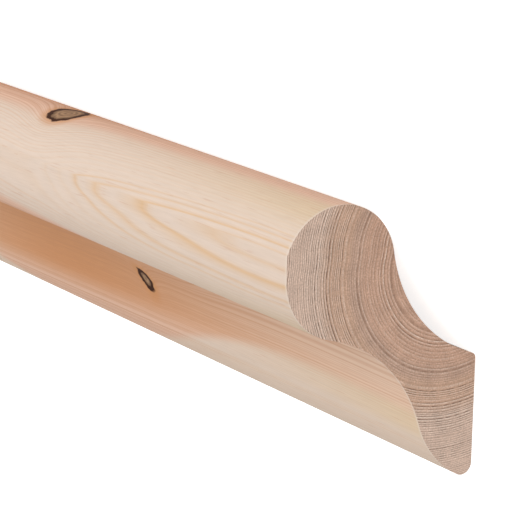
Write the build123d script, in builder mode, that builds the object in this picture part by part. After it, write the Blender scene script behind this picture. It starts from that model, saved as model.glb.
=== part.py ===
from build123d import *
import os
from math import acos, atan2, cos, degrees, radians, sin, sqrt

# Pigs ear handrail: a wall-fixed stair rail run from one length of softwood.
#
# The section is drawn as it is fixed, with x towards the wall and y up. It is a
# string of tangent arcs: a round that the hand closes over, a deep cove under it
# for the fingers, a toe that sweeps down to the lip, the flat face that is
# fastened to the wall, and a second cove behind the round for the thumb.
#
# The rail lies on the floor as it would be stored, on its back: the round and
# the top corner of the wall face touch the floor. X runs along the rail, the
# round is at the front (-Y) and the lip is up at the back. Millimetres.

# The stock
rail_length = 2400.0
section_depth = 54.0
section_height = 70.0

# The round: a crown planed flat by the face of the stock, and a chin that meets that flat
crown_radius = 15.2
crown_planing = 0.8
chin_radius = 15.9
chin_height = 54.2

# The finger cove under the round, and the toe that it runs out into
finger_cove_radius = 36.0
toe_radius = 24.5
lip_radius = 2.8
lip_lean = 28.0

# The wall face, and the bevel and thumb cove above it
wall_face_top = 29.6
bevel_slope = 22.0
thumb_cove_radius = 35.0
corner_radius = 1.2


def along(angle):
    """Unit vector of the section at an angle in degrees from the wall direction."""
    return Vector(cos(radians(angle)), sin(radians(angle)))


def bearing(start, end):
    """Angle in degrees of the line from one point of the section to another."""
    step = end - start
    return degrees(atan2(step.Y, step.X))


def corner_angle(side, base, opposite):
    """Angle in degrees between a side and the base of a triangle, from its three lengths."""
    return degrees(acos((side**2 + base**2 - opposite**2) / (2 * side * base)))


def arc(centre, radius, start, end):
    """Arc of the outline about a centre, from one angle to another."""
    return CenterArc(centre, radius, start, end - start)


# The crown touches the top of the section and the front cuts it; the chin touches the front
crown_centre = Vector(crown_radius - crown_planing, section_height - crown_radius)
crown_front = 180 - degrees(acos(1 - crown_planing / crown_radius))
chin_centre = Vector(chin_radius, chin_height)

# The lip touches the wall face and the bottom of the section
lip_centre = Vector(section_depth - lip_radius, lip_radius)
toe_centre = lip_centre + along(90 - lip_lean) * (toe_radius - lip_radius)

# The finger cove touches the chin and the toe from outside
cove_to_chin = finger_cove_radius + chin_radius
cove_to_toe = finger_cove_radius + toe_radius
chin_to_toe = (toe_centre - chin_centre).length
chin_to_cove = bearing(chin_centre, toe_centre) - corner_angle(cove_to_chin, chin_to_toe, cove_to_toe)
finger_cove_centre = chin_centre + along(chin_to_cove) * cove_to_chin

# The thumb cove touches the crown from outside and runs out into the bevel
wall_corner = Vector(section_depth, wall_face_top)
bevel_normal = along(90 - bevel_slope)
crown_above_bevel = (crown_centre - wall_corner).dot(bevel_normal)
thumb_cove_rise = thumb_cove_radius - crown_above_bevel
thumb_cove_reach = sqrt((thumb_cove_radius + crown_radius) ** 2 - thumb_cove_rise**2)
thumb_cove_centre = crown_centre + along(-bevel_slope) * thumb_cove_reach + bevel_normal * thumb_cove_rise

# The eased corner touches the wall face and the bevel
corner_drop = corner_radius * (1 - sin(radians(bevel_slope))) / cos(radians(bevel_slope))
corner_centre = Vector(section_depth - corner_radius, wall_face_top - corner_drop)

# The floor touches the crown and the eased corner: its direction from the section
corner_gap = (corner_centre - crown_centre).length
floor_swing = degrees(acos((crown_radius - corner_radius) / corner_gap))
floor_direction = bearing(crown_centre, corner_centre) + floor_swing

# The section turned to lie on that floor, midway between its front and back edges
wall_side = Vector(0, sin(radians(floor_direction)), -cos(radians(floor_direction)))
floor_height = crown_centre.dot(along(floor_direction)) + crown_radius
back_direction = along(floor_direction - 90)
back_edge = lip_centre.dot(back_direction) + lip_radius
front_edge = crown_centre.dot(back_direction) - crown_radius
lying = Plane(
    origin=(0, -(back_edge + front_edge) / 2, floor_height),
    x_dir=wall_side,
    z_dir=(-1, 0, 0),
)

with BuildPart() as handrail:
    with BuildSketch(lying) as section:
        with BuildLine() as outline:
            cove_to_toe_angle = bearing(finger_cove_centre, toe_centre)
            crown_back = bearing(crown_centre, thumb_cove_centre)
            # Crown, planed front and chin
            crown = arc(crown_centre, crown_radius, crown_back, crown_front)
            chin = arc(chin_centre, chin_radius, -180, chin_to_cove)
            Line(crown @ 1, chin @ 0)
            # Finger cove, toe and lip
            arc(finger_cove_centre, finger_cove_radius, chin_to_cove + 180, cove_to_toe_angle)
            arc(toe_centre, toe_radius, cove_to_toe_angle - 180, -90 - lip_lean)
            lip = arc(lip_centre, lip_radius, -90 - lip_lean, 0)
            # Wall face, eased corner, bevel and thumb cove
            corner = arc(corner_centre, corner_radius, 0, 90 - bevel_slope)
            thumb_cove = arc(thumb_cove_centre, thumb_cove_radius, -90 - bevel_slope, crown_back - 180)
            Line(lip @ 1, corner @ 0)
            Line(corner @ 1, thumb_cove @ 0)
        make_face()
    extrude(amount=rail_length / 2, both=True)

handrail.part.label = "handrail"

os.makedirs("parts", exist_ok=True)
export_step(handrail.part, "parts/handrail.step")
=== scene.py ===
"""Looks for a pigs ear handrail: one length of planed softwood, lying as it is stored.

The rail is swept by Geometry Nodes from the arcs of its section. Its timber is one solid
pattern: rings about a pith that lies outside the section, cut by the planed sides, the
sawn ends and a few knots, so every face shows the same tree. All work is in the frame of
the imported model, in metres. Sizes are written in millimetres, as the section is drawn.
"""

import logging
from dataclasses import dataclass, field
from enum import Enum
from math import acos, atan2, cos, pi, radians, sin, sqrt
from typing import Any

import bpy
from mathutils import Matrix, Vector

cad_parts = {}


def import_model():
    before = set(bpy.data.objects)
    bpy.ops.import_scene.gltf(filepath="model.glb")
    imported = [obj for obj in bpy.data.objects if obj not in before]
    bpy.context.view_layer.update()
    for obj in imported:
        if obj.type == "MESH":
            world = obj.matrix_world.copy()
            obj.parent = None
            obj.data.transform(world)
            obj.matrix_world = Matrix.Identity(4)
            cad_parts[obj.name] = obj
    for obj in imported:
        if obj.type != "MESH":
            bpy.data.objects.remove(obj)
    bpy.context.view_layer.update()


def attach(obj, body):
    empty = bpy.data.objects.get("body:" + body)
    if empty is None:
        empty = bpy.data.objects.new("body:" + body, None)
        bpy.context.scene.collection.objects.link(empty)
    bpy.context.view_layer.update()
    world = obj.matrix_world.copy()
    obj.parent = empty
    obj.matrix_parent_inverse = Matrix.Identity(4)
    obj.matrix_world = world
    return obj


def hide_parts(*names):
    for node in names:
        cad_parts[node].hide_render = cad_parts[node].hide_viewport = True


MM = 0.001
WHITE = (1.0, 1.0, 1.0, 1.0)
# Noise seldom leaves this span, so tones are spread over it
NOISE_SPAN = (0.3, 0.7)
# The kinds of node that are used most
MATH = "ShaderNodeMath"
VECTOR_MATH = "ShaderNodeVectorMath"
MAP_RANGE = "ShaderNodeMapRange"
MIX = "ShaderNodeMix"
NOISE = "ShaderNodeTexNoise"
RAMP = "ShaderNodeValToRGB"
SPLIT = "ShaderNodeSeparateXYZ"
JOIN = "ShaderNodeCombineXYZ"
# A colour mix's settings, with the number of its output, and a range's with soft ends
COLOURS = {"data_type": "RGBA", "out": 2}
SOFT = {"interpolation_type": "SMOOTHSTEP"}
LOG = logging.getLogger("handrail")

Tree = bpy.types.NodeTree
Range = tuple[float, float]
Triple = tuple[float, float, float]
Stops = tuple[tuple[float, float], ...]


def linear(code: str) -> tuple[float, float, float, float]:
    """Turns an sRGB hex colour into the linear colour that a shader takes.

    Args:
        code: Six hex digits after a hash sign.

    Returns:
        Red, green, blue and a full alpha.
    """
    parts = [int(code[i : i + 2], 16) / 255 for i in (1, 3, 5)]
    return (*(c / 12.92 if c <= 0.04045 else ((c + 0.055) / 1.055) ** 2.4 for c in parts), 1.0)


def add(
    tree: Tree, kind: str, given: Any = (), operation: str = "", out: Any = 0, **settings: Any
) -> Any:
    """Adds a node with its settings and links.

    Args:
        tree: The node tree that gets the node.
        kind: Blender's name for the kind of node.
        given: Other nodes' outputs, plain values and hex colours, in the order of the
            node's inputs, or in a dictionary by an input's name or number.
        operation: What the node does, for a kind that can do several things.
        out: The name or number of the output that is wanted.
        **settings: The node's own properties.

    Returns:
        The output that was asked for, or the node where it has none.
    """
    node = tree.nodes.new(kind)
    if operation:
        node.operation = operation
    for name, value in settings.items():
        setattr(node, name, value)
    pairs = given.items() if isinstance(given, dict) else enumerate(given)
    for key, value in pairs:
        if isinstance(value, bpy.types.NodeSocket):
            tree.links.new(value, node.inputs[key])
        else:
            node.inputs[key].default_value = linear(value) if isinstance(value, str) else value
    return node.outputs[out] if len(node.outputs) else node


def ramp(output: Any, stops: Any, span: Range = (0.0, 1.0)) -> None:
    """Sets the stops of the colour ramp that an output belongs to.

    Args:
        output: An output of the ramp's node.
        stops: Places with a hex colour, or with one number for a grey.
        span: The places that stand for the ramp's two ends.
    """
    elements = output.node.color_ramp.elements
    while len(elements) > 1:
        elements.remove(elements[-1])
    for i, (place, colour) in enumerate(stops):
        share = (place - span[0]) / (span[1] - span[0])
        if i == 0:
            elements[0].position = share
        element = elements[0] if i == 0 else elements.new(share)
        element.color = linear(colour) if isinstance(colour, str) else (colour, colour, colour, 1.0)


def blank_material(name: str) -> bpy.types.Material:
    """Makes a material with an empty node tree.

    Args:
        name: The material's name.

    Returns:
        The material.
    """
    material = bpy.data.materials.new(name)
    material.use_nodes = True
    material.node_tree.nodes.clear()
    return material


def place_object(name: str, data: Any) -> bpy.types.Object:
    """Makes an object and puts it into the scene.

    Args:
        name: The object's name.
        data: Its mesh, lamp or camera.

    Returns:
        The object.
    """
    thing = bpy.data.objects.new(name, data)
    bpy.context.scene.collection.objects.link(thing)
    return thing


def along(angle: float) -> Vector:
    """Gives the unit vector at an angle in radians."""
    return Vector((cos(angle), sin(angle)))


def bearing(start: Vector, end: Vector) -> float:
    """Gives the angle in radians of the line from one point to another."""
    return atan2(end.y - start.y, end.x - start.x)


class Cut(Enum):
    """How a face of the rail was made, which is what its material shows."""

    PLANED = "planed_redwood"
    SAWN = "sawn_redwood_end"


@dataclass(frozen=True)
class Arc:
    """One arc of the section, in mm and radians, as the section is drawn."""

    centre: Vector
    radius: float
    start: float
    end: float
    points: int

    def tips(self) -> list[Vector]:
        """Gives the arc's first and last points."""
        return [self.centre + along(angle) * self.radius for angle in (self.start, self.end)]


@dataclass
class Section:
    """The rail's section as it is fixed, x towards the wall and y up, and how it lies in store."""

    depth: float = 54.0
    height: float = 70.0
    crown_radius: float = 15.2
    crown_planing: float = 0.8
    chin_radius: float = 15.9
    chin_height: float = 54.2
    finger_cove_radius: float = 36.0
    toe_radius: float = 24.5
    lip_radius: float = 2.8
    lip_lean: float = radians(28.0)
    wall_face_top: float = 29.6
    bevel_slope: float = radians(22.0)
    thumb_cove_radius: float = 35.0
    corner_radius: float = 1.2

    def arcs(self) -> dict[str, Arc]:
        """Works out the tangent arcs in the order that they follow each other.

        Returns:
            Each arc by its name.
        """
        crown = Vector((self.crown_radius - self.crown_planing, self.height - self.crown_radius))
        crown_end = pi - acos(1 - self.crown_planing / self.crown_radius)
        chin = Vector((self.chin_radius, self.chin_height))
        lip = Vector((self.depth - self.lip_radius, self.lip_radius))
        lip_start = -pi / 2 - self.lip_lean
        toe = lip + along(pi / 2 - self.lip_lean) * (self.toe_radius - self.lip_radius)
        # The finger cove touches the chin and the toe from outside
        to_chin = self.finger_cove_radius + self.chin_radius
        to_toe = self.finger_cove_radius + self.toe_radius
        apart = (toe - chin).length
        swing = acos((to_chin**2 + apart**2 - to_toe**2) / (2 * to_chin * apart))
        chin_end = bearing(chin, toe) - swing
        finger_cove = chin + along(chin_end) * to_chin
        cove_end = bearing(finger_cove, toe)
        # The thumb cove touches the crown from outside and runs out into the bevel
        bevel = along(pi / 2 - self.bevel_slope)
        bevel_end = -pi / 2 - self.bevel_slope
        above = (crown - Vector((self.depth, self.wall_face_top))).dot(bevel)
        rise = self.thumb_cove_radius - above
        reach = sqrt((self.thumb_cove_radius + self.crown_radius) ** 2 - rise**2)
        thumb_cove = crown + along(-self.bevel_slope) * reach + bevel * rise
        crown_start = bearing(crown, thumb_cove)
        drop = self.corner_radius * (1 - sin(self.bevel_slope)) / cos(self.bevel_slope)
        corner = Vector((self.depth - self.corner_radius, self.wall_face_top - drop))
        return {
            "Crown": Arc(crown, self.crown_radius, crown_start, crown_end, points=56),
            "Chin": Arc(chin, self.chin_radius, -pi, chin_end, points=30),
            "Finger cove": Arc(finger_cove, self.finger_cove_radius, chin_end + pi, cove_end, points=48),
            "Toe": Arc(toe, self.toe_radius, cove_end - pi, lip_start, points=28),
            "Lip": Arc(lip, self.lip_radius, lip_start, 0.0, points=12),
            "Corner": Arc(corner, self.corner_radius, 0.0, pi / 2 - self.bevel_slope, points=6),
            "Thumb cove": Arc(thumb_cove, self.thumb_cove_radius, bevel_end, crown_start - pi, points=48),
        }

    def floor_direction(self) -> float:
        """Works out the floor that the rail lies on, which touches the crown and the corner.

        Returns:
            The floor's direction in the drawn section, in radians.
        """
        crown, corner = self.arcs()["Crown"].centre, self.arcs()["Corner"].centre
        swing = acos((self.crown_radius - self.corner_radius) / (corner - crown).length)
        return bearing(crown, corner) + swing

    def floor_height(self) -> float:
        """Gives how far the floor is from the section's origin, in mm."""
        return self.arcs()["Crown"].centre.dot(along(self.floor_direction())) + self.crown_radius

    def middle(self) -> float:
        """Works out where the middle of the lying section is.

        Returns:
            Its place along the floor, in mm.
        """
        back = along(self.floor_direction() - pi / 2)
        lip_edge = self.arcs()["Lip"].centre.dot(back) + self.lip_radius
        crown_edge = self.arcs()["Crown"].centre.dot(back) - self.crown_radius
        return (lip_edge + crown_edge) / 2


@dataclass
class Lying:
    """Turns places on the fixed rail into places in store.

    A place on the fixed rail is in mm: towards the photographed end, which is 0 with the
    rail at minus values, then towards the wall, then up.
    """

    section: Section
    length: float = 2400.0

    def matrix(self) -> Matrix:
        """Works out the matrix from the fixed rail in mm to the model's frame in metres.

        Returns:
            A turn, a scale and a shift.
        """
        floor = along(self.section.floor_direction())
        turn = Matrix(((-1, 0, 0), (0, floor.y, -floor.x), (0, -floor.x, -floor.y)))
        shift = Vector((-self.length / 2, -self.section.middle(), self.section.floor_height())) * MM
        return Matrix.Translation(shift) @ turn.to_4x4() @ Matrix.Scale(MM, 4)

    def direction(self, fixed: Vector) -> Vector:
        """Turns a direction on the fixed rail into one in store."""
        return (self.matrix().to_3x3() @ fixed).normalized()


@dataclass(frozen=True)
class Knot:
    """A branch that the rail was cut through, in mm on the fixed rail.

    Attributes:
        place: Its middle on the face that shows it.
        runs: The direction in which the branch grew.
        half_along: Half its width along the rail.
        half_across: Half its width the other way.
        push: How far it pushes the rings out, in mm.
        spread: How far from its middle the push is down to a quarter, in mm.
        slant: How far its oval is turned about the branch, in degrees.
    """

    place: Triple
    runs: Triple
    half_along: float
    half_across: float
    push: float = 3.0
    spread: float = 11.0
    slant: float = 0.0

    def turn(self) -> Any:
        """Works out the turn that lays the branch along its own Z.

        Returns:
            An Euler turn, for a Mapping node.
        """
        out = Vector(self.runs).normalized()
        side = (Vector((1, 0, 0)) - out * out.x).normalized()
        turn = Matrix((side, out.cross(side), out)).transposed()
        return (turn @ Matrix.Rotation(radians(self.slant), 3, "Z")).to_euler("XYZ")


@dataclass(frozen=True)
class Wander:
    """How the pith strays from a straight line along the trunk, as a sine wave in mm.

    Attributes:
        size: How far it strays either way.
        length: The trunk's length for one radian.
        start: Where on the wave the photographed end is.
    """

    size: float
    length: float
    start: float


@dataclass(frozen=True)
class Wobble:
    """A waviness of the rings: its height, and its waves' lengths along and across, in mm."""

    height: float
    along: float
    across: float


@dataclass(frozen=True)
class Growth:
    """How the tree grew, in mm on the fixed rail. Waves are so many to a mm."""

    # Where the pith passes the photographed end: towards the wall, and up
    pith: tuple[float, float] = (46.15, 53.9)
    # It swings towards the round and back, and sways a little up and down
    swing: Wander = Wander(size=3.4, length=85.0, start=-118.52)
    sway: Wander = Wander(size=1.77, length=80.0, start=-75.4)
    # Rings are never quite round or straight: a slow wobble, and a finer one
    wobbles: tuple[Wobble, ...] = (Wobble(0.5, along=150, across=40), Wobble(0.16, along=30, across=6))
    # They dip in a shallow hollow down the front, above the pith, which rounds off the arches
    hollow_up: float = 3.4
    hollow_width: float = 3.2
    hollow_depth: float = 0.55
    # Rings get closer towards the bark: this many a mm, and more for each mm outward
    rings_a_mm: float = 0.5
    rings_closing: float = 0.0148
    # Good and bad years shift the count of rings, which starts where the photographed arches fit
    uneven_rings: float = 1.6
    uneven_waves: float = 0.45
    ring_shift: float = -11.58
    # Resin makes the heartwood richer about each whorl of knots, from this part of the cosine up
    whorl_place: float = -165.0
    whorl_spacing: float = 480.0
    whorl_from: float = -0.5
    # No two whorls are as rich, and the photographed one is the richest
    whorl_waves: float = 0.0031
    whorl_noise: Range = (0.35, 0.65)
    whorl_richness: Range = (0.35, 0.9)
    photographed_from: Range = (-420.0, -330.0)
    # The share of a knot's push that the heartwood's edge doesn't follow
    heart_push: float = 0.6
    # In a rich stretch it reaches this far out on its lower side. The power keeps that to the richest
    heart_lean: float = 19.0
    heart_lean_fade: float = 4.5
    # Its rich core reaches this much further down, and less far up, so the finger cove under the round
    # comes out darker and the top lighter: partly resin, partly painted shade
    core_and_shade_lean: float = 8.0
    # A branch starts this far inside the face that shows it, so it doesn't come out behind
    branch_depth: float = 12.0
    # How much wider it gets for each mm that it grows, and the least that it can be, as shares
    branch_swell: float = 0.01
    branch_least: float = 0.02
    # The share of a distance along it that counts in its push
    branch_stretch: float = 0.35


@dataclass(frozen=True)
class Finish:
    """What a bare wooden surface gives the eye besides its colour, with bump heights in mm."""

    ior: float = 1.5
    specular: float = 0.06
    roughness: float = 0.65
    bump: float = 0.25
    bump_height: float = 0.1

    def cover(self, tree: Tree, colour: Any, height: Any) -> None:
        """Ends a material with its shader.

        Args:
            tree: The material's node tree.
            colour: The output that gives its colour.
            height: The output that gives its relief.
        """
        relief = {"Strength": self.bump, "Distance": self.bump_height * MM, "Height": height}
        surface = {
            "Base Color": colour,
            "Roughness": self.roughness,
            "IOR": self.ior,
            "Specular IOR Level": self.specular,
            "Normal": add(tree, "ShaderNodeBump", relief),
        }
        shader = add(tree, "ShaderNodeBsdfPrincipled", surface)
        add(tree, "ShaderNodeOutputMaterial", (shader,))


@dataclass(frozen=True)
class Redwood(Finish):
    """Scots pine, sold as redwood, planed all round and left bare, so its sheen is soft.

    Heartwood is pink and orange, sapwood cream, with a straw zone between. Latewood reads
    as thin lines where a face cuts across the rings, and as arches where it runs along them.
    Edges are in mm from the pith, as the rings run. Waves are so many to a mm.
    """

    sapwood: str = "#E5D1C1"
    sapwood_late: str = "#E1BC94"
    straw: str = "#E2CBAF"
    straw_late: str = "#D9AC80"
    heartwood: str = "#EECAB4"
    heartwood_late: str = "#C89069"
    inner_heart: str = "#EDCDB5"
    # The rich core's colour is resin, and in the finger cove under the round it is also painted shade
    rich_heart_and_shade: str = "#D0966A"
    frayed: str = "#EADACB"
    knot_core: str = "#B08C6C"
    knot_rim: str = "#371804"
    knot_halo: str = "#D0935F"
    # The stretch of the tree that the ramps cover, and the zones' edges in it
    span: Range = (30.0, 50.0)
    core_edge: Range = (28.5, 40.5)
    heart_edge: Range = (35.5, 39.2)
    straw_edge: Range = (41.5, 45.5)
    late_heart_edge: Range = (36.5, 38.5)
    late_straw_edge: Range = (42.0, 44.5)
    # Powers of richness: how resin colours the core, and how its lack shows the straw zone
    resin_power: float = 1.5
    plain_power: float = 2.0
    # How dark a year is, from its start to the dark line at its end
    year_line: Stops = ((0.0, 0.55), (0.12, 0.1), (0.4, 0.0), (0.72, 0.4), (0.9, 1.0), (1.0, 0.55))
    # Strong years are rarer than weak ones, and the weakest is this strong
    year_power: float = 2.2
    year_least: float = 0.5
    # How bold the years are: those past 45 mm make the arches on the front
    bold: Stops = ((30, 0.75), (38, 0.75), (40.5, 0.4), (44.6, 0.3), (45.1, 1.0), (49, 1.0))
    # A bold year shows at least this much, and this much more where the wood is rich. The
    # power keeps that to the boldest
    bold_plain: float = 0.35
    bold_rich: float = 0.5
    bold_power: float = 3.0
    # Fibres: real ones are 0.03 mm across, so they are drawn as streaks of 0.4 mm
    fibre_waves: Triple = (1 / 9, 2.6, 2.6)
    fibre_tone: Range = (0.965, 1.025)
    # Streaks: heartwood is darker in some groups of years than in others, more so in rich wood
    streak_waves: float = 0.8
    streak_noise: Range = (0.42, 0.66)
    streak_most: float = 0.38
    streak_plain: float = 0.15
    streak_rich: float = 0.75
    # Resin canals: fine brown dashes of a few mm along the grain
    canal_waves: Triple = (1 / 7, 3.0, 3.0)
    canal_noise: Range = (0.7, 0.84)
    canal_most: float = 0.25
    # The sawn arris is frayed, which shows as a pale line beside the photographed end
    frayed_edge: Range = (-0.9, -0.3)
    frayed_most: float = 0.55
    # A knot has an orange halo, a ragged dark rim of bark and a duller core with rings
    halo_edge: Range = (0.0, 3.2)
    halo_most: float = 0.6
    ragged_waves: float = 0.5
    ragged_by: float = 1.7
    rim_edge: Range = (0.35, -0.1)
    knot_core_edge: Range = (-1.0, -1.5)
    knot_rings: float = 5.0
    knot_ring_depth: float = 0.25

    def material(self, grain: Tree) -> bpy.types.Material:
        """Builds planed redwood, for the long faces.

        Args:
            grain: The timber's node group.

        Returns:
            The material.
        """
        material = blank_material(Cut.PLANED.value)
        tree = material.node_tree
        wood = add(tree, "ShaderNodeGroup", node_tree=grain).node.outputs
        heart = add(tree, MAP_RANGE, (wood["Heart"], *self.heart_edge, 1.0, 0.0), **SOFT)
        early = self.earlywood(tree, wood, heart)
        late, share = self.latewood(tree, wood)
        colour = add(tree, MIX, {0: share, 6: early, 7: late}, **COLOURS)
        fibre = add(tree, VECTOR_MATH, (wood["Place"], self.fibre_waves), "MULTIPLY")
        fibre = add(tree, NOISE, {"Vector": fibre, "Scale": 1.0, "Detail": 2.0})
        tone = add(tree, MAP_RANGE, (fibre, *NOISE_SPAN, *self.fibre_tone))
        colour = add(tree, VECTOR_MATH, {0: colour, 3: tone}, "SCALE")
        for mask, over in self.streaks(tree, wood, heart) + self.knot_marks(tree, wood):
            colour = add(tree, MIX, {0: mask, 6: colour, 7: over}, **COLOURS)
        self.cover(tree, colour, fibre)
        return material

    def earlywood(self, tree: Tree, wood: Any, heart: Any) -> Any:
        """Adds the colour between the dark lines: sapwood, straw zone and heartwood.

        Args:
            tree: The material's node tree.
            wood: The outputs of the timber's node group.
            heart: The output that says how far a point is in the heartwood.

        Returns:
            The output that gives the colour.
        """
        resin = add(tree, MATH, (wood["Rich"], self.resin_power), "POWER")
        plain = add(tree, MATH, (1.0, wood["Rich"]), "SUBTRACT")
        plain = add(tree, MATH, (plain, self.plain_power), "POWER")
        # The rich core leans down into the finger cove, so its darker colour there is resin and painted
        # shade
        core = add(tree, MAP_RANGE, (wood["Core"], *self.core_edge, 1.0, 0.0), **SOFT)
        straw = add(tree, MAP_RANGE, (wood["Heart"], *self.straw_edge, 1.0, 0.0))
        straw = add(tree, MATH, (straw, plain), "MULTIPLY")
        deep = add(tree, MIX, {0: resin, 6: self.inner_heart, 7: self.rich_heart_and_shade}, **COLOURS)
        deep = add(tree, MIX, {0: core, 6: self.heartwood, 7: deep}, **COLOURS)
        outer = add(tree, MIX, {0: straw, 6: self.sapwood, 7: self.straw}, **COLOURS)
        return add(tree, MIX, {0: heart, 6: outer, 7: deep}, **COLOURS)

    def latewood(self, tree: Tree, wood: Any) -> tuple[Any, Any]:
        """Adds the dark line at the end of each year, which is stronger in some years.

        Args:
            tree: The material's node tree.
            wood: The outputs of the timber's node group.

        Returns:
            The output that gives its colour, and the one that says how much of it shows.
        """
        zone = add(tree, MAP_RANGE, (wood["Heart"], *self.span))
        colour = add(tree, RAMP, (zone,))
        places = (*self.late_heart_edge, *self.late_straw_edge)
        tones = (self.heartwood_late, self.straw_late, self.straw_late, self.sapwood_late)
        ramp(colour, zip(places, tones), self.span)
        line = add(tree, RAMP, (wood["Part"],))
        ramp(line, self.year_line)
        strong = add(tree, MATH, (wood["Year"], self.year_power), "POWER")
        strong = add(tree, MATH, (strong, 1 - self.year_least, self.year_least), "MULTIPLY_ADD")
        reach = add(tree, MAP_RANGE, (wood["Reach"], *self.span))
        bold = add(tree, RAMP, (reach,))
        ramp(bold, self.bold, self.span)
        strong = add(tree, MATH, (strong, bold), "MULTIPLY")
        bold = add(tree, MATH, (bold, self.bold_power), "POWER")
        least = add(tree, MATH, (wood["Rich"], self.bold_rich, self.bold_plain), "MULTIPLY_ADD")
        least = add(tree, MATH, (bold, least), "MULTIPLY")
        strong = add(tree, MATH, (strong, least), "MAXIMUM")
        return colour, add(tree, MATH, (line, strong), "MULTIPLY")

    def streaks(self, tree: Tree, wood: Any, heart: Any) -> list[tuple[Any, str]]:
        """Adds the masks of the streaks, the resin canals and the frayed arris.

        Args:
            tree: The material's node tree.
            wood: The outputs of the timber's node group.
            heart: The output that says how far a point is in the heartwood.

        Returns:
            Each mask with its colour, from the bottom up.
        """
        waves = {"W": wood["Reach"], "Scale": self.streak_waves, "Detail": 2.0}
        streak = add(tree, NOISE, waves, noise_dimensions="1D")
        streak = add(tree, MAP_RANGE, (streak, *self.streak_noise, 0.0, self.streak_most))
        streak = add(tree, MATH, (streak, heart), "MULTIPLY")
        richer = add(tree, MATH, (wood["Rich"], self.streak_rich, self.streak_plain), "MULTIPLY_ADD")
        streak = add(tree, MATH, (streak, richer), "MULTIPLY")
        canal = add(tree, VECTOR_MATH, (wood["Place"], self.canal_waves), "MULTIPLY")
        canal = add(tree, NOISE, {"Vector": canal, "Scale": 1.0, "Detail": 0.0})
        canal = add(tree, MAP_RANGE, (canal, *self.canal_noise, 0.0, self.canal_most))
        along_rail = add(tree, SPLIT, (wood["Place"],))
        frayed = add(tree, MAP_RANGE, (along_rail, *self.frayed_edge, 0.0, self.frayed_most))
        return [(streak, self.heartwood_late), (canal, self.heartwood_late), (frayed, self.frayed)]

    def knot_marks(self, tree: Tree, wood: Any) -> list[tuple[Any, str]]:
        """Adds the masks of a knot's halo, rim and core.

        Args:
            tree: The material's node tree.
            wood: The outputs of the timber's node group.

        Returns:
            Each mask with its colour, from the bottom up.
        """
        halo = add(tree, MAP_RANGE, (wood["Knot"], *self.halo_edge, self.halo_most, 0.0), **SOFT)
        ragged = add(tree, NOISE, {"Vector": wood["Place"], "Scale": self.ragged_waves, "Detail": 2.0})
        ragged = add(tree, MATH, (ragged, 0.5), "SUBTRACT")
        edge = add(tree, MATH, (ragged, self.ragged_by, wood["Knot"]), "MULTIPLY_ADD")
        rim = add(tree, MAP_RANGE, (edge, *self.rim_edge))
        core = add(tree, MAP_RANGE, (edge, *self.knot_core_edge))
        rings = add(tree, MATH, (edge, self.knot_rings), "MULTIPLY")
        rings = add(tree, MATH, (rings,), "SINE")
        depth = (rings, self.knot_ring_depth, 1 - self.knot_ring_depth)
        rings = add(tree, MATH, depth, "MULTIPLY_ADD")
        core = add(tree, MATH, (core, rings), "MULTIPLY")
        return [(halo, self.knot_halo), (rim, self.knot_rim), (core, self.knot_core)]


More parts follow.
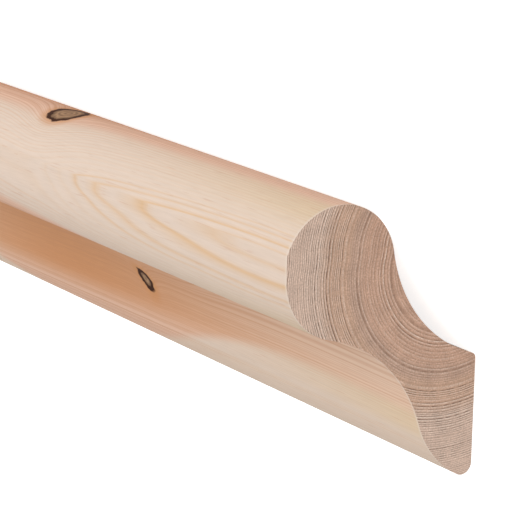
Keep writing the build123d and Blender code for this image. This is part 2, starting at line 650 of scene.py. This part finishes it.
@dataclass(frozen=True)
class SawnEnd(Finish):
    """The same pine cut square with a saw: its open pores soak up light, so it is darker.

    Edges are in mm from the pith, as the rings run. Waves are so many to a mm.
    """

    roughness: float = 0.9
    bump: float = 0.4
    inner: str = "#C7A28C"
    grey: str = "#C09F8B"
    middle: str = "#C9A68F"
    outer: str = "#D4B8A6"
    late: str = "#57341F"
    pale: str = "#F0DECF"
    # The stretch of the tree that the ramps cover, and the zones' edges in it
    span: Range = (14.0, 54.0)
    grey_edge: Range = (25.5, 27.0)
    middle_edge: Range = (29.0, 30.0)
    outer_edge: Range = (34.5, 38.5)
    # How strongly the years show: bold near 20, 32.5, 38 and 48 mm, and quiet between
    bold: Stops = (
        (14, 0.25), (19, 0.4), (20, 1.0), (21.5, 0.3), (25.5, 0.3), (27, 0.5), (28.5, 0.25),
        (30.4, 0.3), (31.6, 0.35), (32.2, 1.0), (33, 1.0), (34, 0.55), (35.5, 0.8), (37, 1.0),
        (38.5, 1.0), (40, 0.9), (43, 0.6), (46, 0.7), (48, 1.0), (50, 0.5),
    )
    # The weakest year is this strong
    year_least: float = 0.5
    # Each year starts with a pale line and ends with a dark one
    dark_line: Stops = ((0, 0.3), (0.05, 0), (0.5, 0), (0.66, 0.3), (0.77, 1), (0.97, 1), (1, 0.3))
    pale_line: Stops = ((0, 0.3), (0.12, 1), (0.3, 0.5), (0.5, 0), (1, 0))
    # The saw wore both through in places
    worn_waves: float = 0.6
    worn_noise: Range = (0.36, 0.58)
    worn_least: float = 0.35
    # Broad blotches where the saw tore, and a speckle of cut pores: real ones are 0.03 mm
    # across, so they are drawn as specks of 0.4 mm
    blotch_waves: float = 0.25
    blotch_tone: Range = (0.9, 1.08)
    speck_waves: float = 2.4
    speck_tone: Range = (0.82, 1.19)

    def material(self, grain: Tree) -> bpy.types.Material:
        """Builds sawn end grain, for the two ends.

        Args:
            grain: The timber's node group.

        Returns:
            The material.
        """
        material = blank_material(Cut.SAWN.value)
        tree = material.node_tree
        wood = add(tree, "ShaderNodeGroup", node_tree=grain).node.outputs
        reach = add(tree, MAP_RANGE, (wood["Reach"], *self.span))
        colour = add(tree, RAMP, (reach,))
        places = (*self.grey_edge, *self.middle_edge, *self.outer_edge)
        tones = (self.inner, self.grey, self.grey, self.middle, self.middle, self.outer)
        ramp(colour, zip(places, tones), self.span)
        speck, blotch, worn = (
            add(tree, NOISE, {"Vector": wood["Place"], "Scale": waves, "Detail": detail})
            for waves, detail in ((self.speck_waves, 2.0), (self.blotch_waves, 3.0), (self.worn_waves, 2.0))
        )
        bold = add(tree, RAMP, (reach,))
        ramp(bold, self.bold, self.span)
        worn = add(tree, MAP_RANGE, (worn, *self.worn_noise, self.worn_least, 1.0))
        years = (wood["Year"], 1 - self.year_least, self.year_least)
        strong = add(tree, MATH, years, "MULTIPLY_ADD")
        for share in (bold, worn):
            strong = add(tree, MATH, (strong, share), "MULTIPLY")
        for stops, over in ((self.dark_line, self.late), (self.pale_line, self.pale)):
            line = add(tree, RAMP, (wood["Part"],))
            ramp(line, stops)
            line = add(tree, MATH, (line, strong), "MULTIPLY")
            colour = add(tree, MIX, {0: line, 6: colour, 7: over}, **COLOURS)
        for noise, change in ((speck, self.speck_tone), (blotch, self.blotch_tone)):
            tone = add(tree, MAP_RANGE, (noise, *NOISE_SPAN, *change))
            colour = add(tree, VECTOR_MATH, {0: colour, 3: tone}, "SCALE")
        self.cover(tree, colour, speck)
        return material


@dataclass
class Timber:
    """The solid pattern of the tree that the rail was cut from, and its two materials."""

    lying: Lying
    growth: Growth = field(default_factory=Growth)
    planed: Redwood = field(default_factory=Redwood)
    sawn: SawnEnd = field(default_factory=SawnEnd)
    knots: tuple[Knot, ...] = (
        # The two that the photograph shows: on the crown, and in the finger cove
        Knot((-123.2, 12.3, 69.9), (-0.6, -0.3, 0.75), 4.8, 5, push=6.5, spread=13),
        Knot((-119.3, 34, 23), (-0.15, -0.35, -0.93), 2.8, 3.3, push=2.4, spread=7, slant=18),
        # The rest of the length, a whorl every half metre or so
        Knot((-612, 0, 57), (-0.5, -1, 0.1), 6.5, 6, push=6),
        Knot((-598, 27, 31), (-0.5, -0.6, -0.8), 4, 3, push=3),
        Knot((-626, 52, 14), (-0.4, 0.2, -1), 3, 9, push=2),
        Knot((-1085, 12, 69.5), (-0.9, -0.8, 0.5), 4, 3, push=4),
        Knot((-1104, 44, 5), (-0.5, -0.1, -1), 5, 4.5, push=4),
        Knot((-1571, 4, 43), (-0.5, -1, -0.25), 5.5, 5, push=5),
        Knot((-1556, 33, 24), (-0.5, -0.4, -0.9), 3, 4, push=3),
        Knot((-2034, 9, 68), (-0.7, -1, 0.4), 5, 4, push=5),
        Knot((-2048, 40, 10), (-0.4, -0.1, -1), 4, 4, push=3),
        Knot((-2019, 54, 9), (-0.3, 0.3, -0.9), 2.5, 7, push=2),
    )

    def materials(self) -> dict[Cut, bpy.types.Material]:
        """Builds the material of each kind of cut.

        Returns:
            The material for each cut.
        """
        grain = self.grain_group()
        return {Cut.PLANED: self.planed.material(grain), Cut.SAWN: self.sawn.material(grain)}

    def grain_group(self) -> Tree:
        """Builds the node group that both materials share.

        Returns:
            A group that gives, for the point being shaded, its Place in the tree and its
            Reach, the distance from the pith as the rings run. Heart and Core are that
            distance as the heartwood and its rich core run. Part says how far through its
            year the point grew, Year how strong that year was, Knot how far outside a knot
            it is, and Rich how much resin its stretch of the tree has.
        """
        tree = bpy.data.node_groups.new("Grown timber", "ShaderNodeTree")
        tree.interface.new_socket("Place", in_out="OUTPUT", socket_type="NodeSocketVector")
        for name in ("Reach", "Heart", "Core", "Part", "Year", "Knot", "Rich"):
            tree.interface.new_socket(name, in_out="OUTPUT", socket_type="NodeSocketFloat")
        grown = self.growth
        back = self.lying.matrix().inverted()
        at_pith = Vector((0.0, *grown.pith))
        fixed = (
            add(tree, "ShaderNodeTexCoord", out="Object"),
            back.translation - at_pith,
            back.to_euler("XYZ"),
            (1 / MM,) * 3,
        )
        straight = add(tree, "ShaderNodeMapping", fixed, vector_type="POINT")
        along_rail, _, height = add(tree, SPLIT, (straight,)).node.outputs
        place = self.stray(tree, straight, along_rail)
        spoke = add(tree, VECTOR_MATH, (place, (0, 1, 1)), "MULTIPLY")
        radius = add(tree, VECTOR_MATH, (spoke,), "LENGTH", out="Value")
        edge, push = self.nearest_knot(tree, straight, at_pith)
        reach = add(tree, MATH, (radius, push), "SUBTRACT")
        reach = self.uneven(tree, reach, place, height)
        part, year = self.years(tree, reach)
        rich = self.richness(tree, along_rail)
        down = add(tree, SPLIT, (spoke,)).node.outputs[2]
        down = add(tree, MATH, (down, radius), "DIVIDE")
        heart = add(tree, MATH, (push, grown.heart_push, reach), "MULTIPLY_ADD")
        # Leaning the rich core down paints shade into the finger cove under the round, on top of real resin
        core = add(tree, MATH, (down, grown.core_and_shade_lean, heart), "MULTIPLY_ADD")
        lean = add(tree, MATH, (rich, grown.heart_lean_fade), "POWER")
        lean = add(tree, MATH, (lean, grown.heart_lean), "MULTIPLY")
        down = add(tree, MATH, (down, 0.0), "MINIMUM")
        heart = add(tree, MATH, (down, lean, heart), "MULTIPLY_ADD")
        add(tree, "NodeGroupOutput", (place, reach, heart, core, part, year, edge, rich))
        return tree

    def stray(self, tree: Tree, straight: Any, along_rail: Any) -> Any:
        """Adds the place in a tree whose pith strays from a straight line.

        Args:
            tree: The timber's node group.
            straight: The output that gives the place from a straight pith.
            along_rail: The output that gives how far along the rail that is.

        Returns:
            The output that gives the place from the pith as it strays.
        """
        strays = []
        for wander in (self.growth.swing, self.growth.sway):
            start = wander.start / wander.length
            wave = add(tree, MATH, (along_rail, 1 / wander.length, start), "MULTIPLY_ADD")
            wave = add(tree, MATH, (wave,), "SINE")
            strays.append(add(tree, MATH, (wave, wander.size, -wander.size * sin(start)), "MULTIPLY_ADD"))
        shift = add(tree, JOIN, (0.0, *strays))
        return add(tree, VECTOR_MATH, (straight, shift), "ADD")

    def nearest_knot(self, tree: Tree, straight: Any, at_pith: Vector) -> tuple[Any, Any]:
        """Adds all the knots.

        Args:
            tree: The timber's node group.
            straight: The output that gives the place from a straight pith.
            at_pith: Where that pith passes the photographed end.

        Returns:
            The output that gives how far the nearest knot's edge is, minus inside it, and
            the one that gives how far all the knots push the rings out.
        """
        knot_tree = self.knot_group()
        edge, push = None, None
        for knot in self.knots:
            given = {
                "Place": straight,
                "Middle": Vector(knot.place) - at_pith,
                "Turn": knot.turn(),
                "Half widths": (knot.half_along, knot.half_across, 1.0),
                "Push": knot.push,
                "Spread": knot.spread,
            }
            met = add(tree, "ShaderNodeGroup", given, node_tree=knot_tree).node.outputs
            if edge is None:
                edge, push = met["Edge"], met["Push"]
            else:
                edge = add(tree, MATH, (edge, met["Edge"]), "MINIMUM")
                push = add(tree, MATH, (push, met["Push"]), "ADD")
        return edge, push

    def knot_group(self) -> Tree:
        """Builds the node group of one knot.

        Returns:
            A group that takes a place in the tree and a knot's sizes, and gives how far
            that place is from the knot's Edge and the Push that the rings have there.
        """
        tree = bpy.data.node_groups.new("Knot", "ShaderNodeTree")
        for name in ("Place", "Middle", "Turn", "Half widths"):
            tree.interface.new_socket(name, in_out="INPUT", socket_type="NodeSocketVector")
        for name in ("Push", "Spread"):
            tree.interface.new_socket(name, in_out="INPUT", socket_type="NodeSocketFloat")
        for name in ("Edge", "Push"):
            tree.interface.new_socket(name, in_out="OUTPUT", socket_type="NodeSocketFloat")
        given = tree.nodes.new("NodeGroupInput").outputs
        widths = given["Half widths"]
        laid = (given["Place"], given["Middle"], given["Turn"], widths)
        laid = add(tree, "ShaderNodeMapping", laid, vector_type="TEXTURE")
        side, front, outward = add(tree, SPLIT, (laid,)).node.outputs
        # The branch is a round post in its own half widths, which swells as it grows
        grown = self.growth
        width = add(tree, MATH, (outward, grown.branch_swell, 1.0), "MULTIPLY_ADD")
        width = add(tree, MATH, (width, grown.branch_least), "MAXIMUM")
        edge = add(tree, JOIN, (side, front))
        edge = add(tree, VECTOR_MATH, (edge,), "LENGTH", out="Value")
        half_along = add(tree, SPLIT, (widths,))
        before = add(tree, MATH, (-grown.branch_depth, outward), "SUBTRACT")
        steps = (("DIVIDE", width), ("SUBTRACT", 1.0), ("MULTIPLY", half_along), ("MAXIMUM", before))
        for operation, by in steps:
            edge = add(tree, MATH, (edge, by), operation)
        # The rings bulge most at the knot, and its push dies away with distance
        away = laid
        for by in (widths, (1, 1, grown.branch_stretch)):
            away = add(tree, VECTOR_MATH, (away, by), "MULTIPLY")
        away = add(tree, VECTOR_MATH, (away,), "LENGTH", out="Value")
        away = add(tree, MATH, (away, given["Spread"]), "DIVIDE")
        fade = add(tree, MATH, (away, away, 1.0), "MULTIPLY_ADD")
        fade = add(tree, MATH, (fade, fade), "MULTIPLY")
        push = add(tree, MATH, (given["Push"], fade), "DIVIDE")
        add(tree, "NodeGroupOutput", (edge, push))
        return tree

    def uneven(self, tree: Tree, reach: Any, place: Any, height: Any) -> Any:
        """Adds the hollow down the front and the wobbles of the rings.

        Args:
            tree: The timber's node group.
            reach: The output that gives the distance from the pith.
            place: The output that gives the place in the tree.
            height: The output that gives how high that is above the straight pith.

        Returns:
            The output that gives the distance as the rings run.
        """
        grown = self.growth
        hollow = (height, 1 / grown.hollow_width, -grown.hollow_up / grown.hollow_width)
        hollow = add(tree, MATH, hollow, "MULTIPLY_ADD")
        hollow = add(tree, MATH, (hollow, hollow, 1.0), "MULTIPLY_ADD")
        hollow = add(tree, MATH, (grown.hollow_depth, hollow), "DIVIDE")
        reach = add(tree, MATH, (reach, hollow), "ADD")
        for wobble in grown.wobbles:
            waves = (1 / wobble.along, 1 / wobble.across, 1 / wobble.across)
            waves = add(tree, VECTOR_MATH, (place, waves), "MULTIPLY")
            noise = add(tree, NOISE, {"Vector": waves, "Scale": 1.0, "Detail": 1.0})
            noise = add(tree, MATH, (noise, 0.5), "SUBTRACT")
            reach = add(tree, MATH, (noise, wobble.height, reach), "MULTIPLY_ADD")
        return reach

    def years(self, tree: Tree, reach: Any) -> tuple[Any, Any]:
        """Adds the count of rings, with good and bad years.

        Args:
            tree: The timber's node group.
            reach: The output that gives the distance as the rings run.

        Returns:
            The output that says how far through its year a point grew, and the one that
            gives that year's strength.
        """
        grown = self.growth
        count = add(tree, MATH, (reach, grown.rings_closing, grown.rings_a_mm), "MULTIPLY_ADD")
        count = add(tree, MATH, (count, reach), "MULTIPLY")
        noise = {"W": reach, "Scale": grown.uneven_waves, "Detail": 1.0}
        noise = add(tree, NOISE, noise, noise_dimensions="1D")
        count = add(tree, MATH, (noise, grown.uneven_rings, count), "MULTIPLY_ADD")
        count = add(tree, MATH, (count, grown.ring_shift), "ADD")
        part = add(tree, MATH, (count,), "FRACT")
        whole = add(tree, MATH, (count,), "FLOOR")
        return part, add(tree, "ShaderNodeTexWhiteNoise", {"W": whole}, noise_dimensions="1D")

    def richness(self, tree: Tree, along_rail: Any) -> Any:
        """Adds the resin about each whorl of knots.

        Args:
            tree: The timber's node group.
            along_rail: The output that gives the place along the rail.

        Returns:
            The output that gives the richness, from 0 to 1.
        """
        grown = self.growth
        turn = 2 * pi / grown.whorl_spacing
        rich = add(tree, MATH, (along_rail, turn, -turn * grown.whorl_place), "MULTIPLY_ADD")
        rich = add(tree, MATH, (rich,), "COSINE")
        rich = add(tree, MAP_RANGE, (rich, grown.whorl_from, 1.0))
        most = add(tree, NOISE, {"W": along_rail, "Scale": grown.whorl_waves}, noise_dimensions="1D")
        most = add(tree, MAP_RANGE, (most, *grown.whorl_noise, *grown.whorl_richness))
        photographed = add(tree, MAP_RANGE, (along_rail, *grown.photographed_from))
        most = add(tree, MATH, (most, photographed), "MAXIMUM")
        return add(tree, MATH, (rich, most), "MULTIPLY")


@dataclass
class Rail:
    """The rail itself: its section swept along its length by Geometry Nodes."""

    lying: Lying
    timber: Timber
    name: str = "rail"
    # Sections along the length, points on each straight, and the gap in mm that is welded
    slices: int = 121
    straight_points: int = 8
    weld: float = 0.005
    # A face is an end where its normal points along the rail by more than this
    end_facing: float = 0.9

    def tree(self, arcs: dict[str, Arc]) -> tuple[Tree, dict[str, Any]]:
        """Builds the Geometry Nodes tree of the rail.

        Args:
            arcs: The arcs of its section by name, in order.

        Returns:
            The tree, and the value for each of its named inputs.
        """
        tree = bpy.data.node_groups.new("Swept rail", "GeometryNodeTree")
        tree.interface.new_socket("Geometry", in_out="OUTPUT", socket_type="NodeSocketGeometry")
        values: dict[str, Any] = {}

        def take(name: str, kind: str, value: Any) -> None:
            """Adds a named input to the tree and keeps its value."""
            tree.interface.new_socket(name, in_out="INPUT", socket_type=f"NodeSocket{kind}")
            values[name] = value

        section = self.lying.section
        for name, arc in arcs.items():
            take(f"{name} centre", "Vector", (*(arc.centre * MM), 0.0))
            take(f"{name} radius", "Float", arc.radius * MM)
            take(f"{name} start", "Float", arc.start)
            take(f"{name} sweep", "Float", arc.end - arc.start)
            take(f"{name} points", "Int", arc.points)
        straights = {
            "Planed front": ("Crown", "Chin"),
            "Wall face": ("Lip", "Corner"),
            "Bevel": ("Corner", "Thumb cove"),
        }
        for name, (before, after) in straights.items():
            take(f"{name} start", "Vector", (*(arcs[before].tips()[1] * MM), 0.0))
            take(f"{name} end", "Vector", (*(arcs[after].tips()[0] * MM), 0.0))
        take("Lay down by", "Float", pi / 2 - section.floor_direction())
        take("Lay down at", "Vector", (-section.middle() * MM, -section.floor_height() * MM, 0.0))
        take("Half length", "Float", self.lying.length / 2 * MM)
        take("Slices", "Int", self.slices)
        take("Planed timber", "Material", None)
        take("Sawn timber", "Material", None)
        given = tree.nodes.new("NodeGroupInput").outputs
        outline = self.outline(tree, given, list(arcs), list(straights))
        # The path runs from the far end to the photographed one
        far = add(tree, JOIN, (given["Half length"],))
        near = add(tree, VECTOR_MATH, {0: far, 3: -1.0}, "SCALE")
        path = add(tree, "GeometryNodeCurvePrimitiveLine", {"Start": far, "End": near}, mode="POINTS")
        path = {"Curve": path, "Count": given["Slices"]}
        path = add(tree, "GeometryNodeResampleCurve", path, mode="COUNT")
        path = add(tree, "GeometryNodeSetCurveNormal", {"Curve": path}, mode="Z_UP")
        swept = {"Curve": path, "Profile Curve": outline, "Fill Caps": True}
        swept = add(tree, "GeometryNodeCurveToMesh", swept)
        facing = add(tree, SPLIT, (add(tree, "GeometryNodeInputNormal"),))
        facing = add(tree, MATH, (facing,), "ABSOLUTE")
        end = add(tree, "FunctionNodeCompare", (facing, self.end_facing), "GREATER_THAN")
        rail = add(tree, "GeometryNodeRealizeInstances", {"Geometry": swept})
        for timber, faces in (("Planed timber", True), ("Sawn timber", end)):
            rail = {"Geometry": rail, "Selection": faces, "Material": given[timber]}
            rail = add(tree, "GeometryNodeSetMaterial", rail)
        add(tree, "NodeGroupOutput", (rail,))
        return tree, values

    def outline(self, tree: Tree, given: Any, bends: list[str], straights: list[str]) -> Any:
        """Adds the section: its arcs and straights, joined into one closed outline and laid down.

        Args:
            tree: The rail's Geometry Nodes tree.
            given: The outputs of its Group Input node.
            bends: The names of the arcs.
            straights: The names of the straights.

        Returns:
            The output that gives the outline.
        """
        joined = tree.nodes.new("GeometryNodeJoinGeometry")
        sizes = {"Resolution": "points", "Radius": "radius", "Start Angle": "start", "Sweep Angle": "sweep"}
        for name in bends:
            arc = {key: given[f"{name} {size}"] for key, size in sizes.items()}
            arc = add(tree, "GeometryNodeCurveArc", arc, mode="RADIUS")
            arc = {"Geometry": arc, "Translation": given[f"{name} centre"]}
            tree.links.new(add(tree, "GeometryNodeTransform", arc), joined.inputs[0])
        for name in straights:
            line = {"Start": given[f"{name} start"], "End": given[f"{name} end"]}
            line = add(tree, "GeometryNodeCurvePrimitiveLine", line, mode="POINTS")
            line = {"Curve": line, "Count": self.straight_points}
            line = add(tree, "GeometryNodeResampleCurve", line, mode="COUNT")
            tree.links.new(line, joined.inputs[0])
        edges = add(tree, "GeometryNodeCurveToMesh", {"Curve": joined.outputs[0]})
        edges = add(tree, "GeometryNodeMergeByDistance", {"Geometry": edges, "Distance": self.weld * MM})
        outline = {
            "Geometry": add(tree, "GeometryNodeMeshToCurve", {"Mesh": edges}),
            "Translation": given["Lay down at"],
            "Rotation": add(tree, JOIN, {2: given["Lay down by"]}),
        }
        return add(tree, "GeometryNodeTransform", outline)

    def build(self) -> bpy.types.Object:
        """Builds the rail as a plain mesh, in both its materials.

        Returns:
            The rail's object, riding on the model's one body.
        """
        materials = self.timber.materials()
        tree, values = self.tree(self.lying.section.arcs())
        values["Planed timber"] = materials[Cut.PLANED]
        values["Sawn timber"] = materials[Cut.SAWN]
        maker = place_object("rail_maker", bpy.data.meshes.new("rail_maker"))
        modifier = maker.modifiers.new("Swept rail", "NODES")
        modifier.node_group = tree
        for item in tree.interface.items_tree:
            if item.in_out == "INPUT":
                modifier[item.identifier] = values[item.name]
        graph = bpy.context.evaluated_depsgraph_get()
        mesh = bpy.data.meshes.new_from_object(maker.evaluated_get(graph))
        maker.modifiers.remove(modifier)
        bpy.data.objects.remove(maker)
        mesh.name = self.name
        smooth = [abs(face.normal.x) < self.end_facing for face in mesh.polygons]
        mesh.polygons.foreach_set("use_smooth", smooth)
        rail = place_object(self.name, mesh)
        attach(rail, "root")
        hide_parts("handrail")
        return rail


@dataclass
class Studio:
    """The plain floor, the soft light and the camera.

    The camera stands where the photograph was taken from, on the fixed rail, so it is
    turned with the rail as it lies. Angles are in degrees, places and the lens in mm, and
    the floor's reach and what the camera can see in metres.
    """

    lying: Lying
    stand: Triple = (456.54, -305.36, 198.39)
    azimuth: float = 56.965
    elevation: float = 14.134
    roll: float = 0.984
    lens: float = 180.31
    sensor: float = 36.0
    sees: Range = (0.05, 60.0)
    key_from: Triple = (0.5, -0.8, 0.33)
    key_strength: float = 1.45
    key_spread: float = 50.0
    fill: float = 0.61
    floor_colour: str = "#EDEDED"
    floor_glow: float = 0.8
    floor_reach: float = 15.0

    def build_camera(self) -> bpy.types.Object:
        """Builds the camera at the photograph's angle.

        Returns:
            The camera's object.
        """
        turn, rise, roll = radians(self.azimuth), radians(self.elevation), radians(self.roll)
        back = Vector((sin(turn) * cos(rise), -cos(turn) * cos(rise), sin(rise)))
        right = Vector((0, 0, 1)).cross(back).normalized()
        up = back.cross(right)
        axes = (right * cos(roll) + up * sin(roll), up * cos(roll) - right * sin(roll), back)
        data = bpy.data.cameras.new("camera")
        data.lens = self.lens
        data.sensor_width = self.sensor
        data.clip_start, data.clip_end = self.sees
        camera = place_object("camera", data)
        turned = Matrix([self.lying.direction(axis) for axis in axes]).transposed().to_4x4()
        camera.matrix_world = Matrix.Translation(self.lying.matrix() @ Vector(self.stand)) @ turned
        bpy.context.scene.camera = camera
        return camera

    def build_floor(self) -> bpy.types.Object:
        """Builds the floor, which shows white and keeps the rail's shadow.

        Returns:
            The floor's object.
        """
        reach = self.floor_reach
        mesh = bpy.data.meshes.new("floor")
        corners = [(-reach, -reach, 0), (reach, -reach, 0), (reach, reach, 0), (-reach, reach, 0)]
        mesh.from_pydata(corners, [], [(0, 1, 2, 3)])
        material = blank_material("matt_white_backdrop")
        tree = material.node_tree
        paint = add(tree, "ShaderNodeBsdfDiffuse", {"Color": self.floor_colour})
        glow = add(tree, "ShaderNodeEmission", {"Strength": self.floor_glow})
        lit = add(tree, "ShaderNodeAddShader", (paint, glow))
        surface = add(tree, "ShaderNodeMixShader", (self.background_ray(tree), paint, lit))
        add(tree, "ShaderNodeOutputMaterial", (surface,))
        mesh.materials.append(material)
        floor = place_object("floor", mesh)
        return floor

    def background_ray(self, tree: Tree) -> Any:
        """Adds the test for a ray that shows the background.

        Args:
            tree: The node tree of the floor or the world.

        Returns:
            The output that is 1 for a ray from the camera, a gloss or a glass.
        """
        rays = tree.nodes.new("ShaderNodeLightPath").outputs
        seen = rays["Is Camera Ray"]
        for other in ("Is Glossy Ray", "Is Transmission Ray"):
            seen = add(tree, MATH, (seen, rays[other]), "MAXIMUM")
        return seen

    def build_light(self) -> None:
        """Builds the broad key lamp and the even fill of the world."""
        data = bpy.data.lights.new("key", "SUN")
        data.energy = self.key_strength
        data.angle = radians(self.key_spread)
        key = place_object("key", data)
        key.rotation_mode = "QUATERNION"
        key.rotation_quaternion = self.lying.direction(Vector(self.key_from)).to_track_quat("Z", "Y")
        world = bpy.data.worlds.new("studio")
        world.use_nodes = True
        tree = world.node_tree
        tree.nodes.clear()
        strength = add(tree, MAP_RANGE, {0: self.background_ray(tree), 3: self.fill, 4: 1.0})
        sky = add(tree, "ShaderNodeBackground", {"Color": WHITE, "Strength": strength})
        add(tree, "ShaderNodeOutputWorld", (sky,))
        bpy.context.scene.world = world
        bpy.context.scene.view_settings.view_transform = "Standard"


def main() -> None:
    """Builds the studio and the rail."""
    logging.basicConfig(level=logging.INFO, format="%(name)s: %(message)s")
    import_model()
    lying = Lying(Section())
    studio = Studio(lying)
    studio.build_camera()
    LOG.info("camera in place")
    rail = Rail(lying, Timber(lying)).build()
    LOG.info("%s: %d faces", rail.name, len(rail.data.polygons))
    studio.build_floor()
    studio.build_light()
    LOG.info("floor and light in place")


if __name__ == "__main__":
    main()
